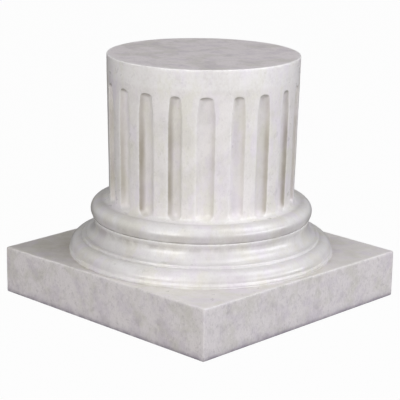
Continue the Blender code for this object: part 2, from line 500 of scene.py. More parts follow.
    def net_rows(self, net: tuple[np.ndarray, ...], along: np.ndarray | None = None) -> Rows:
        """Rows over one stretch of the flutes, with the glaze that was left in them.

        Args:
            net: Distance across the flute, height and reach of each point.
            along: For the heads, places beyond the middle of the round end.

        Returns:
            The rows with their marks.
        """
        sideways, heights, reach = net
        radii = self.carved(reach, heights)
        angles = self.columns.middles + sideways / self.columns.round_radius
        places = np.stack([radii * np.cos(angles), radii * np.sin(angles), heights], axis=-1)
        beyond = np.zeros_like(reach) if along is None else along[:, None] / np.maximum(reach, TINY)
        return Rows.of(places, **self.finish.marks(self, heights, reach, beyond))

    def side_rows(self) -> Rows:
        """The plain band, the flutes and the spread.

        Returns:
            Their rows, from the top down.
        """
        columns = self.columns
        bends = np.array([0.0, *columns.gathered])
        band_foot = self.head_z + columns.fillet * self.head_rise
        band = np.linspace(self.top_z - self.rim_radius, band_foot, self.band_points)[1:-1]
        heads = np.array([*bends, columns.fillet])[::-1]
        middle = np.linspace(0.0, 1.0, self.middle_points)[1:-1]
        foot_end = (self.low_z - self.foot_z) / self.foot_fall
        spread = 1.0 + (foot_end - 1.0) * np.array(self.spread_points)
        lows = np.array([*bends[bends <= 1.0], *spread])
        # The band, made lighter as painted light.
        band_part = Rows.of(columns.turned(self.side_radius(band), band), worn=self.band_painted_light)
        head_part = self.net_rows(self.end_net(heads, True), heads)
        parts = [band_part, head_part, self.net_rows(self.straight_net(middle))]
        return Rows.joined(parts + [self.net_rows(self.end_net(lows, False))])

    def rows(self) -> Rows:
        """All the rows of the drum."""
        return Rows.joined([self.top_rows(), self.side_rows()])


class Spot(NamedTuple):
    """One point of the section of the round base, with its marks."""

    radius: float
    height: float
    # Dirt, with painted shade and painted shadow in the creases.
    dirt: float = 0.0
    # Wear, with a painted highlight on the upper fillet's edge.
    wear_and_light: float = 0.0
    # Painted shade, laid as glaze and as violet shade.
    glaze: float = 0.0

    def moved(self, place: tuple[float, float]) -> "Spot":
        """The same spot, measured from a place."""
        return self._replace(radius=place[0] + self.radius, height=place[1] + self.height)


@dataclass
class Mouldings:
    """The round base: two rolls with a hollow between them, fillets, fine grooves and a thin lip."""

    columns: Columns
    plinth_z: float = 0.0540
    upper_roll: tuple[float, float] = (0.1146, 0.1029)
    upper_roll_section: float = 0.0110
    upper_roll_start: float = 102.0
    upper_roll_end: float = -46.0
    upper_roll_steps: int = 22
    upper_roll_dirt: tuple[float, float] = (0.2, 0.75)  # dirt and painted shade on its last two points, over the groove
    upper_fillet: tuple[float, float] = (0.1234, 0.0951)
    hollow_top: tuple[float, float] = (0.1218, 0.0892)
    hollow_foot: tuple[float, float] = (0.1306, 0.0751)
    hollow_turns: tuple[float, ...] = (4, 12, 21, 30, 39, 48, 57, 66, 75, 83)  # degrees
    # Dirt and painted shade along the top of the hollow.
    hollow_dirt: float = 0.4
    hollow_dirt_turns: tuple[float, float] = (0.05, 0.55)  # where it begins to fade, and has gone
    lower_fillet: tuple[float, float] = (0.1350, 0.0744)
    lower_roll: tuple[float, float] = (0.1372, 0.0594)
    lower_roll_section: float = 0.0120
    lower_roll_start: float = 100.6
    lower_roll_end: float = 10.0
    lower_roll_steps: int = 14
    lower_roll_dirt: tuple[float, float] = (0.25, 0.1)  # painted shadow of the lower fillet, on its first two points
    lip: tuple[float, float] = (0.1479, 0.0569)
    lip_section: float = 0.0023
    lip_steps: int = 6
    lip_start: float = 70.0
    lip_end: float = -60.0
    foot_radius: float = 0.1496
    # Painted shade in the crease at the lip's foot.
    foot: tuple[Spot, ...] = (Spot(0.00005, 0.0012, dirt=0.1), Spot(0.0, 0.0003, dirt=0.3))
    groove: tuple[Spot, ...] = (  # under the upper roll, up to the edge of the fillet, with dirt and painted shade in the groove and wear and a painted highlight on the edge
        Spot(-0.00125, -0.00070, dirt=0.9),
        Spot(-0.00070, -0.00022, dirt=0.6),
        Spot(-0.00035, 0.0, wear_and_light=0.7),
        Spot(-0.00004, -0.00030, wear_and_light=1.0),
        Spot(-0.00010, -0.00078, wear_and_light=0.7),
    )
    fillet_dirt: tuple[tuple[float, float], ...] = ((0.45, 0.0), (0.70, 0.15), (0.90, 0.4))  # dirt and painted shade down its face
    hairline: tuple[Spot, ...] = (  # at the foot of the hollow
        Spot(-0.00035, 0.00002),
        Spot(0.0, -0.00018, dirt=0.55),
        Spot(0.00035, -0.00004),
    )
    fillet_edge: float = 0.0003
    fillet_fall: float = 0.0016  # of the last point of the lower fillet
    shade_film: float = 0.12  # painted shade, laid as glaze and as violet shade, where it is thinnest on the upper roll and in the hollow
    # More painted shade under and over the upper roll, in the hollow, on the fillets, on the lower roll and
    # round the lip.
    shade_under_roll: float = 0.34
    under_roll: tuple[float, float] = (-33.0, 12.0)  # degrees below level, where it begins and is full
    shade_over_roll: float = 0.10
    over_roll: tuple[float, float] = (42.0, 60.0)
    shade_hollow: float = 0.22
    shade_upper_fillet: float = 0.3
    shade_lower_fillet: float = 0.25
    shade_lower_roll: float = 0.21
    shade_under_lower: float = 0.18
    under_lower: tuple[float, float] = (-50.0, -20.0)
    shade_lip: tuple[float, float] = (0.35, 0.2)  # above it, and on it
    patches: tuple[tuple[float, float], ...] = ((-0.42, 0.65), (0.78, 0.5))  # painted highlights: angle, and how much of the painted shade is taken away
    highlight_width: float = 0.26
    warm_shade_share: float = 0.5  # of the painted shade that is laid as glaze, and the next as violet shade
    violet_shade_share: float = 0.7
    # Dirt and painted shadow in the grooves, more on the left of each side than on its right.
    dirt_mean: float = 0.70
    dirt_swing: float = 0.30

    def upper_section(self) -> list[Spot]:
        """The upper roll, the fine groove under it and the fillet.

        Returns:
            The points of the section, from the top down.
        """
        start, end = self.upper_roll_start, self.upper_roll_end
        roll = arc(self.upper_roll, self.upper_roll_section, start, end, self.upper_roll_steps)[1:]
        turns = np.linspace(start, end, len(roll) + 1)[1:]
        # Painted shade, more under the roll and over its top.
        glaze = self.shade_film + self.shade_under_roll * smooth(-turns, *self.under_roll)
        glaze = glaze + self.shade_over_roll * smooth(turns, *self.over_roll)
        points = [Spot(*place, glaze=shade_film) for place, shade_film in zip(roll, glaze)]
        points[-2:] = [spot._replace(dirt=dirt) for spot, dirt in zip(points[-2:], self.upper_roll_dirt)]
        points += [spot.moved(self.upper_fillet) for spot in self.groove]
        for share, dirt in self.fillet_dirt:
            place = between(self.upper_fillet, self.hollow_top, share)
            points.append(Spot(*place, dirt, glaze=self.shade_upper_fillet))
        return points

    def hollow_section(self) -> list[Spot]:
        """The hollow, the hairline at its foot and the lower fillet.

        Returns:
            The points of the section, from the top down.
        """
        wide = self.hollow_foot[0] - self.hollow_top[0]
        high = self.hollow_top[1] - self.hollow_foot[1]
        points = []
        for turn in np.radians(self.hollow_turns):
            place = (self.hollow_foot[0] - wide * math.cos(turn), self.hollow_top[1] - high * math.sin(turn))
            # Dirt and painted shade at the top of the hollow, and painted shade down its middle.
            dirt = self.hollow_dirt * (1.0 - smooth(turn, *self.hollow_dirt_turns))
            points.append(Spot(*place, dirt, glaze=self.shade_film + self.shade_hollow * math.sin(2 * turn)))
        points += [spot.moved(self.hollow_foot) for spot in self.hairline]
        shade_film, (edge, top) = self.shade_lower_fillet, self.lower_fillet
        for share in (0.45, 0.80):
            points.append(Spot(*between(self.hollow_foot, self.lower_fillet, share), glaze=shade_film))
        points.append(Spot(edge - self.fillet_edge, top, glaze=shade_film))
        points.append(Spot(edge, top - self.fillet_edge, glaze=shade_film))
        points.append(Spot(edge, top - self.fillet_fall, dirt=0.1, glaze=self.shade_lip[1]))
        return points

    def lower_section(self) -> list[Spot]:
        """The lower roll, the lip that it turns out into and its foot.

        Returns:
            The points of the section, from the top down.
        """
        start, end = self.lower_roll_start, self.lower_roll_end
        roll = arc(self.lower_roll, self.lower_roll_section, start, end, self.lower_roll_steps)
        turns = np.linspace(start, end, len(roll))
        # Painted shade on the lower roll, more under it, and above and on the lip.
        glaze = self.shade_lower_roll + self.shade_under_lower * smooth(-turns, *self.under_lower)
        points = [Spot(*place, glaze=shade_film) for place, shade_film in zip(roll, glaze)]
        points[:2] = [spot._replace(dirt=dirt) for spot, dirt in zip(points[:2], self.lower_roll_dirt)]
        lip = arc(self.lip, self.lip_section, self.lip_start, self.lip_end, self.lip_steps)
        last, (above, on) = roll[-1], self.shade_lip
        points += [Spot(*between(last, lip[0], share), glaze=above) for share in (0.4, 0.75)]
        points += [Spot(*place, glaze=on) for place in lip]
        return points + [spot.moved((self.foot_radius, self.plinth_z)) for spot in self.foot]

    def share_of_dirt(self) -> np.ndarray:
        """How much dirt and painted shadow the grooves hold: most on the left of each side, least on its
        right.
        """
        return self.dirt_mean - self.dirt_swing * np.sin(2.0 * (self.columns.angles - FRONT_ANGLE))

    def share_of_shade_film(self) -> np.ndarray:
        """How much of the painted shade is left round the axis: it is taken away in two places in front, as
        painted highlights.

        Returns:
            A share for each column.
        """
        away = (self.columns.angles - FRONT_ANGLE + math.pi) % math.tau - math.pi
        left = np.ones_like(away)
        for turn, gone in self.patches:
            left = left - gone * hump(away, turn, self.highlight_width)
        return left

    def rows(self) -> Rows:
        """All the rows of the round base.

        Returns:
            The rows with their marks, from the top down.
        """
        upper, lower = self.upper_section(), self.hollow_section() + self.lower_section()
        radii, heights, dirt, wear_and_light, glaze = np.array(upper + lower).T
        # The painted shade, laid partly as glaze and partly as violet shade.
        shade_film = glaze[:, None] * np.ones(self.columns.count)
        shade_film[len(upper) :] *= self.share_of_shade_film()
        return Rows.of(
            self.columns.turned(radii, heights),
            crevice=dirt[:, None] * self.share_of_dirt(),
            worn=wear_and_light,
            glaze=shade_film * self.warm_shade_share,
            grime=shade_film * self.violet_shade_share,
            base=1.0,
        )


@dataclass
class Plinth:
    """The square plinth with softened edges."""

    columns: Columns
    side: float
    height: float = 0.0540
    round_radius: float = 0.1496  # of the round base that stands on it
    edge_radius: float = 0.0016
    corner_radius: float = 0.0022
    corner_steps: int = 4
    raised: float = 0.0030  # at the front and back corners
    sunk: float = 0.0008  # at the other two
    edge_turns: tuple[float, ...] = (0.0, 22.5, 45.0, 67.5, 90.0)
    edge_wear: float = 0.06
    side_points: int = 17
    foot_turns: tuple[float, ...] = (0.0, 30.0, 60.0, 90.0)
    foot_dirt: tuple[float, float] = (0.15, 0.3)  # painted shade along the bottom edge: at the start of its edge, and more at the end
    top_rings: tuple[float, ...] = (0.0, 0.04, 0.10, 0.2, 0.34, 0.5, 0.66, 0.8, 0.92)
    # Painted shade on the top, next to the round base.
    top_dirt: tuple[float, ...] = (0.4, 0.2, 0.08, 0.0, 0.0, 0.0, 0.0, 0.0, 0.0)
    under_rings: tuple[float, ...] = (0.96, 0.85, 0.65, 0.4, 0.15, 0.0)
    under_block: float = 0.6  # how much of the sides' finish the underside has
    # Painted shade: the sides get darker and more violet towards the bottom.
    painted_shade_height: float = 0.012
    grime: float = 0.6
    foot_line: tuple[float, float] = (0.0035, 0.0005)  # heights where its painted dark line begins, and is full
    foot_line_shade: float = 0.7
    top_film: float = 0.06  # of glaze, all over the top
    beside_shadow: float = 0.54  # painted shadow of the column, laid as glaze, beside the round base
    shadow_fade: float = 0.6
    side_shadow: float = 0.64  # of that painted shadow: the mean of left and right
    side_shadow_swing: float = 0.36  # half their difference

    def square(self, inset: float, corner: float) -> np.ndarray:
        """Points of one square ring with rounded corners, one for each column.

        Args:
            inset: How far the ring lies inside the plinth's side.
            corner: Radius of its corners.

        Returns:
            The points, as columns and the two level axes.
        """
        half, steps = self.side / 2 - inset, self.corner_steps
        quarter = self.columns.count // QUARTERS
        flat = half - corner
        turns = np.radians(np.linspace(45, 90, steps + 1))
        first = np.stack([flat + corner * np.cos(turns), flat + corner * np.sin(turns)], axis=-1)
        run = np.linspace(flat, -flat, quarter - 2 * steps + 1)[1:-1]
        straight = np.stack([run, np.full_like(run, half)], axis=-1)
        last = first[::-1] * (-1, 1)
        edge = np.concatenate([first, straight, last[:-1]])
        sides = [edge]
        for _ in range(QUARTERS - 1):
            sides.append(np.stack([-sides[-1][:, 1], sides[-1][:, 0]], axis=-1))
        return np.concatenate(sides)

    def warp(self, flat: np.ndarray, share: float) -> np.ndarray:
        """How far the casting has pulled out of level at some points, for a share of its full amount."""
        diagonal = np.abs(flat[:, 0] - flat[:, 1]) / self.side
        return share * ((self.raised + self.sunk) * diagonal - self.sunk)

    def sideways(self) -> np.ndarray:
        """How much painted shadow lies beside the round base: most on its left, least in front of it."""
        away = self.columns.angles - FRONT_ANGLE
        return np.sin(away) ** 4 * (self.side_shadow - self.side_shadow_swing * np.sin(away))

    def ring(
        self,
        flat: np.ndarray,
        height: float,
        warped: float = 0.0,
        block: float = 0.0,
        worn: float = 0.0,
        crevice: float = 0.0,
    ) -> Rows:
        """One ring of points with its marks.

        Args:
            flat: Its points, as columns and the two level axes.
            height: Its height, before the warp.
            warped: The share of the warp that it has.
            block: How much of the sides' finish it has.
            worn: How worn it is.
            crevice: How much dirt and painted shade it holds.

        Returns:
            The ring, as rows of one.
        """
        begun, full = self.foot_line
        # Painted shade, darker towards the bottom of the sides and in a line at the very foot.
        low = smooth(-height, -self.painted_shade_height, 0.0) * self.grime
        low = low + smooth(-height, -begun, -full) * self.foot_line_shade
        glaze = np.zeros((1, self.columns.count))
        # Painted shadow of the column on the top, beside the round base.
        if block == 0.0 and warped < 1.0:
            glaze += self.top_film + self.beside_shadow * self.sideways() * (1.0 - self.shadow_fade * warped)
        places = np.column_stack([flat, height + self.warp(flat, warped)])
        return Rows.of(places[None], block=block, worn=worn, crevice=crevice, grime=low * block, glaze=glaze)

    def rows(self) -> Rows:
        """The top of the plinth, its sides and its underside.

        Returns:
            The rows with their marks, from the round base outwards and down.
        """
        angles, edge = self.columns.angles, self.edge_radius
        circle = self.round_radius * np.stack([np.cos(angles), np.sin(angles)], axis=-1)
        tight = self.corner_radius - edge
        shoulder, wall = self.square(edge, tight), self.square(0.0, self.corner_radius)
        rings = []
        # Painted shade on the top next to the round base.
        for share, dirt in zip(self.top_rings, self.top_dirt):
            rings.append(self.ring(circle + (shoulder - circle) * share, self.height, share, crevice=dirt))
        for turn in np.radians(self.edge_turns):
            out, low = edge * math.sin(turn), edge * (1 - math.cos(turn))
            flat = self.square(edge - out, tight + out)
            rings.append(self.ring(flat, self.height - low, 1.0, math.sin(turn), self.edge_wear))
        for height in np.linspace(self.height - edge, edge, self.side_points)[1:-1]:
            rings.append(self.ring(wall, height, height / self.height, 1.0))
        # Painted shade along the bottom edge.
        start, more = self.foot_dirt
        for turn in np.radians(self.foot_turns):
            back, low = edge * (1 - math.cos(turn)), edge * (1 - math.sin(turn))
            flat = self.square(back, self.corner_radius - back)
            rings.append(self.ring(flat, low, block=1.0, crevice=start + more * math.sin(turn)))
        for share in self.under_rings:
            rings.append(self.ring(shoulder * share, 0.0, block=self.under_block))
        return Rows.joined(rings)


@dataclass
class Casting:
    """The whole casting: the rows of its parts, closed at both ends, with a hand-finished surface."""

    drum: Drum
    mouldings: Mouldings
    plinth: Plinth
    waves: tuple[tuple[float, float], ...] = ((0.045, 0.00022), (0.016, 0.00010), (0.006, 0.00004))
    standing: float = 0.004  # the unevenness dies out this far above the floor

    def net(self) -> Rows:
        """Every row of the casting, with the middle points of the top and the underside left in as rows."""
        return Rows.joined([self.drum.rows(), self.mouldings.rows(), self.plinth.rows()])

    def faces(self, rows: int, columns: int) -> list[tuple[int, ...]]:
        """The faces between the rows. The first and the last row are single points.

        Args:
            rows: The number of rows, with the two single points.
            columns: The number of points in each other row.

        Returns:
            The numbers of each face's points.
        """
        last = 1 + (rows - 2) * columns
        found = []
        for i in range(columns):
            following = (i + 1) % columns
            found.append((0, 1 + i, 1 + following))
            low = 1 + (rows - 3) * columns
            found.append((last, low + following, low + i))
        for row in range(rows - 3):
            high, low = 1 + row * columns, 1 + (row + 1) * columns
            for i in range(columns):
                following = (i + 1) % columns
                found.append((high + i, low + i, low + following, high + following))
        return found

    def make_uneven(self, mesh: bpy.types.Mesh) -> None:
        """Moves each point a little along its normal, as on a surface that was finished by hand.

        Args:
            mesh: The casting's mesh, which is changed.
        """
        count = len(mesh.vertices)
        places, normals = np.empty(count * 3, np.float32), np.empty(count * 3, np.float32)
        mesh.vertices.foreach_get("co", places)
        mesh.vertex_normals.foreach_get("vector", normals)
        places, normals = places.reshape(-1, 3), normals.reshape(-1, 3)
        shift = np.zeros(count)
        for length, height in self.waves:
            shift += height * np.array([noise.noise(Vector(place) / length) for place in places])
        shift *= smooth(places[:, 2], 0.0, self.standing)
        places = places + normals * shift[:, None]
        mesh.vertices.foreach_set("co", places.astype(np.float32).ravel())
        mesh.update()

    def build(self) -> bpy.types.Object:
        """The casting as an object, with its marks as attributes of the points.

        Returns:
            The object, linked to the scene, without a material.
        """
        net = self.net()
        rows, columns = net.places.shape[:2]
        points = np.concatenate([net.places[0, :1], net.places[1:-1].reshape(-1, 3), net.places[-1, :1]])
        mesh = bpy.data.meshes.new("aged_casting")
        mesh.from_pydata(points.tolist(), [], self.faces(rows, columns))
        mesh.shade_smooth()
        self.make_uneven(mesh)
        for mark, values in net.marks.items():
            flat = np.concatenate([values[0, :1], values[1:-1].ravel(), values[-1, :1]])
            kept = mesh.attributes.new(mark.value, "FLOAT", "POINT")
            kept.data.foreach_set("value", flat.astype(np.float32))
        made = bpy.data.objects.new("aged_casting", mesh)
        bpy.context.scene.collection.objects.link(made)
        return made

    def dress(self, made: bpy.types.Object, finish: "AgedStone") -> None:
        """Gives the casting its finish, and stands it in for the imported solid.

        Args:
            made: The casting as an object.
            finish: What it is dressed in.
        """
        made.data.materials.append(finish.material())
        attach(made, "root")
        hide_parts(NODE)


class Amount:
    """A number that changes over a surface, kept as a socket of a material."""

    def __init__(self, graph: "Graph", socket: bpy.types.NodeSocket) -> None:
        """Keeps the socket and the graph it belongs to."""
        self.graph = graph
        self.socket = socket

    def worked(self, operation: str, first: "Amount | float", second: "Amount | float") -> "Amount":
        """The result of one Math node."""
        node = self.graph.make("ShaderNodeMath", {"operation": operation}, {0: first, 1: second})
        return Amount(self.graph, node.outputs[0])

    def __add__(self, other: "Amount | float") -> "Amount":
        """Sum."""
        return self.worked("ADD", self, other)

    def __radd__(self, other: float) -> "Amount":
        """Sum with a number on the left."""
        return self.worked("ADD", other, self)

    def __sub__(self, other: "Amount | float") -> "Amount":
        """Difference."""
        return self.worked("SUBTRACT", self, other)

    def __rsub__(self, other: float) -> "Amount":
        """Difference from a number on the left."""
        return self.worked("SUBTRACT", other, self)

    def __mul__(self, other: "Amount | float") -> "Amount":
        """Product."""
        return self.worked("MULTIPLY", self, other)

    def __rmul__(self, other: float) -> "Amount":
        """Product with a number on the left."""
        return self.worked("MULTIPLY", other, self)

    def stepped(self, low: float, high: float) -> "Amount":
        """A smooth step of this number from 0 to 1.

        Args:
            low: Where the step begins.
            high: Where it ends.

        Returns:
            The stepped number.
        """
        sockets = {"Value": self, "From Min": low, "From Max": high}
        node = self.graph.make("ShaderNodeMapRange", {"interpolation_type": "SMOOTHSTEP"}, sockets)
        return Amount(self.graph, node.outputs[0])


class Graph:
    """The nodes of one material or of the world, and the few ways in which they are added."""

    def __init__(self, tree: bpy.types.NodeTree) -> None:
        """Keeps the tree, emptied."""
        self.tree = tree
        tree.nodes.clear()

    def make(self, kind: str, settings: dict | None = None, sockets: dict | None = None) -> bpy.types.Node:
        """Adds a node.

        Args:
            kind: The node's type.
            settings: Its properties, set first. "stops" gives a ramp's places and colours.
            sockets: Values or links by the name or number of the input.

        Returns:
            The node.
        """
        node = self.tree.nodes.new(kind)
        for name, value in (settings or {}).items():
            if name == "stops":
                self.set_stops(node.color_ramp, value)
            else:
                setattr(node, name, value)
        for name, value in (sockets or {}).items():
            value = getattr(value, "socket", value)
            if isinstance(value, bpy.types.NodeSocket):
                self.tree.links.new(value, node.inputs[name])
            else:
                node.inputs[name].default_value = value
        return node

    def set_stops(self, ramp: bpy.types.ColorRamp, stops: Iterable[tuple[float, Colour]]) -> None:
        """Gives a colour ramp its stops, from left to right.

        Args:
            ramp: The ramp, which is changed.
            stops: The place and the colour of each stop.
        """
        stops = list(stops)
        while len(ramp.elements) < len(stops):
            ramp.elements.new(1.0)
        for element, (place, colour) in zip(ramp.elements, stops):
            element.position = place
            element.color = (*colour, 1.0)

    def blend(self, share: Amount | float, first: object, second: object) -> bpy.types.NodeSocket:
        """A colour between two.

        Args:
            share: How much of the second colour there is.
            first: The colour under it, as a socket or three numbers.
            second: The colour over it.

        Returns:
            The socket of the new colour.
        """
        first, second = ((*c, 1.0) if isinstance(c, tuple) else c for c in (first, second))
        settings = {"data_type": "RGBA", "blend_type": "MIX", "clamp_factor": True}
        return self.make("ShaderNodeMix", settings, {0: share, 6: first, 7: second}).outputs[2]

    def mark(self, mark: Mark) -> Amount:
        """What the points of the casting were marked with."""
        node = self.make("ShaderNodeAttribute", {"attribute_type": "GEOMETRY", "attribute_name": mark.value})
        return Amount(self, node.outputs["Fac"])

    def grain(
        self,
        size: float,
        detail: float = 2.0,
        rough: float = 0.5,
        tall: float = 1.0,
        place: Shift = (0, 0, 0),
    ) -> Amount:
        """Soft noise in the object's own space.

        Args:
            size: The size of its spots, in metres.
            detail: How many finer layers it has.
            rough: How strong the finer layers are.
            tall: How much taller than wide the spots are.
            place: Shift, so that two uses differ.

        Returns:
            Values round 0.5.
        """
        where = self.make("ShaderNodeTexCoord").outputs["Object"]
        scale = (1.0, 1.0, 1.0 / tall)
        moved = self.make("ShaderNodeMapping", {}, {"Vector": where, "Scale": scale, "Location": place})
        sockets = {"Vector": moved.outputs[0], "Scale": 1.0 / size, "Detail": detail, "Roughness": rough}
        return Amount(self, self.make("ShaderNodeTexNoise", {}, sockets).outputs[0])

    def specks(self, spacing: float, size: float) -> Amount:
        """Round specks, one in each cell of a random net.

        Args:
            spacing: Distance between them, in metres.
            size: Their radius, as a share of the spacing.

        Returns:
            1 in the middle of a speck, 0 away from it.
        """
        where = self.make("ShaderNodeTexCoord").outputs["Object"]
        sockets = {"Vector": where, "Scale": 1.0 / spacing, "Randomness": 1.0}
        cells = self.make("ShaderNodeTexVoronoi", {"feature": "F1"}, sockets)
        return 1.0 - Amount(self, cells.outputs["Distance"]).stepped(size * 0.5, size)


@dataclass(frozen=True)
class Mottle:
    """Spots of one kind in the stone, with their strength on each part of the casting."""

    tone: Colour
    size: float
    steps: tuple[float, float]  # the noise's values where a spot begins, and is full
    place: Shift
    body: float
    top: float = 0.0
    block: float = 0.0
    detail: float = 3.0
    rough: float = 0.6
    tall: float = 1.0
    low: bool = False  # True where the noise's low values make the spots

    def over(
        self, graph: Graph, colour: bpy.types.NodeSocket, top: Amount, block: Amount
    ) -> bpy.types.NodeSocket:
        """A colour with these spots over it.

        Args:
            graph: The nodes of the material.
            colour: The colour without them.
            top: The mark of the top face.
            block: The mark of the plinth's sides.

        Returns:
            The new colour's socket.
        """
        value = graph.grain(self.size, self.detail, self.rough, self.tall, self.place)
        spots = (1.0 - value if self.low else value).stepped(*self.steps)
        return graph.blend(spots * (self.body + top * self.top + block * self.block), colour, self.tone)


@dataclass(frozen=True)
class AgedStone:
    """Off-white cast stone with brown glaze left in the recesses, grey clouds on the flats and worn edges;
    its marks also lay painted shade, painted shadow and painted highlights.
    """

    body: Colour = (0.803, 0.768, 0.755)
    base_tone: Colour = (0.772, 0.758, 0.750)
    base_share: float = 0.9
    lavender: Colour = (0.750, 0.692, 0.765)
    beige: Colour = (0.745, 0.722, 0.645)
    top_tone: Colour = (0.818, 0.758, 0.770)
    top_share: float = 0.9
    block_tone: Colour = (0.715, 0.672, 0.676)
    block_share: float = 0.85
    cloud: Colour = (0.45, 0.415, 0.42)
    violet: Colour = (0.485, 0.42, 0.51)
    olive: Colour = (0.475, 0.465, 0.37)
    # The glaze's brown, used also for painted shade on the round base and on the plinth's top.
    glaze: Colour = (0.29, 0.245, 0.175)
    glaze_and_shade_strength: float = 0.82
    # Dirt's colour, used also for painted shade and painted shadow in the creases of the base and along the
    # plinth's edges.
    dirt: Colour = (0.17, 0.13, 0.09)
    dirt_strength: float = 0.9
    shade: Colour = (0.28, 0.245, 0.31)
    speck: Colour = (0.22, 0.20, 0.19)
    speck_spacing: float = 0.0042
    speck_size: float = 0.13
    speck_strength: float = 0.6
    speck_body: float = 0.08  # how strong they are all over, and how much stronger on the flats
    speck_flats: float = 0.50
    # Colour of worn edges, used also for painted highlights and painted light.
    worn: Colour = (0.90, 0.885, 0.875)
    wear_and_highlight_strength: float = 0.8
    roughness: float = 0.29
    patches: float = 0.12  # how much the roughness changes from place to place, and on the glaze and the flats
    dull: float = 0.25  # how much rougher the dirt is
    relief: float = 0.00010
    relief_strength: float = 0.6
    sheen: float = 0.45
    sheen_roughness: float = 0.22
    washes: tuple[Mottle, ...] = (
        Mottle(lavender, 0.026, (0.48, 0.62), (3, 1, 2), 0.52, tall=2.2),
        Mottle(beige, 0.024, (0.49, 0.63), (9, 2, 5), 0.62, tall=2.0),
    )
    mottles: tuple[Mottle, ...] = (
        Mottle(cloud, 0.012, (0.50, 0.72), (3, 5, 2), 0.06, 0.18, 0.26, detail=4.0, rough=0.65),
        Mottle(olive, 0.030, (0.46, 0.64), (8, 8, 3), 0.16, 0.16, 0.18, detail=4.0),
        Mottle(violet, 0.022, (0.48, 0.66), (1, 6, 9), 0.10, 0.20, 0.22, detail=4.0),
        Mottle(cloud, 0.0046, (0.50, 0.74), (4, 4, 7), 0.09, 0.18, 0.40, rough=0.7),
        Mottle(cloud, 0.0017, (0.54, 0.76), (5, 7, 1), 0.28, 0.36, 0.34, rough=0.7, tall=2.2),
        Mottle(worn, 0.0017, (0.54, 0.76), (5, 7, 1), 0.36, 0.0, 0.10, rough=0.7, tall=2.2, low=True),
    )

    def stone(self, graph: Graph, top: Amount, block: Amount) -> bpy.types.NodeSocket:
        """The stone with its washes, clouds, blotches and flecks, which are strongest on the flats.

        Args:
            graph: The nodes of the material.
            top: The mark of the top face.
            block: The mark of the plinth's sides.

        Returns:
            The colour's socket.
        """
        colour = graph.blend(graph.mark(Mark.BASE) * self.base_share, self.body, self.base_tone)
        for wash in self.washes:
            colour = wash.over(graph, colour, top, block)
        colour = graph.blend(top * self.top_share, colour, self.top_tone)
        colour = graph.blend(block * self.block_share, colour, self.block_tone)
        for mottle in self.mottles:
            colour = mottle.over(graph, colour, top, block)
        return colour

    def material(self) -> bpy.types.Material:
        """The finish as a material.

        Returns:
            The material, with all its nodes.
        """
        made = bpy.data.materials.new("aged_cast_stone")
        made.use_nodes = True
        graph = Graph(made.node_tree)
        top, block = graph.mark(Mark.TOP), graph.mark(Mark.BLOCK)
        flats = top + block
        colour = self.stone(graph, top, block)

        runs = graph.grain(0.014, 3.0, tall=2.5, place=(1, 4, 6)).stepped(0.35, 0.65)
        # Glaze, and painted shade laid in the glaze's colour.
        glaze = graph.mark(Mark.GLAZE) * (0.70 + runs * 0.30)
        colour = graph.blend(glaze * self.glaze_and_shade_strength, colour, self.glaze)
        broken = graph.grain(0.016, 3.0, 0.6, place=(7, 4, 6)).stepped(0.38, 0.62)
        # Dirt, and painted shade and shadow, in the creases.
        crevice = graph.mark(Mark.CREVICE) * (0.25 + broken * 0.75)
        colour = graph.blend(crevice * self.dirt_strength, colour, self.dirt)
        # Painted shade in a violet colour.
        colour = graph.blend(graph.mark(Mark.GRIME) * (0.40 + broken * 0.30), colour, self.shade)
        chosen = graph.grain(0.012, 1.0, place=(6, 2, 8)).stepped(0.50, 0.62)
        specks = graph.specks(self.speck_spacing, self.speck_size) * chosen
        specks = specks * (self.speck_body + flats * self.speck_flats)
        colour = graph.blend(specks * self.speck_strength, colour, self.speck)
        patchy = graph.grain(0.0035, place=(2, 2, 4)).stepped(0.35, 0.6)
        # Worn edges, and painted highlights and painted light.
        worn = graph.mark(Mark.WORN) * (0.4 + patchy * 0.6)
        colour = graph.blend(worn * self.wear_and_highlight_strength, colour, self.worn)

        patches = graph.grain(0.010, 3.0, 0.6, place=(5, 1, 7)) - 0.5
        roughness = self.roughness + (patches + glaze + flats) * self.patches + crevice * self.dull
        height = (graph.grain(0.0009) * 0.4 + patchy * 0.8 - specks * 1.5) * flats
        bumps = {"Height": height, "Distance": self.relief, "Strength": self.relief_strength}
        sockets = {
            "Base Color": colour,
            "Roughness": roughness,
            "Specular IOR Level": 0.5,
            "Coat Weight": graph.mark(Mark.BASE) * self.sheen,
            "Coat Roughness": self.sheen_roughness,
            "Normal": graph.make("ShaderNodeBump", {}, bumps).outputs[0],
        }
        shader = graph.make("ShaderNodeBsdfPrincipled", {}, sockets)
        graph.make("ShaderNodeOutputMaterial", {}, {"Surface": shader.outputs[0]})
        return made


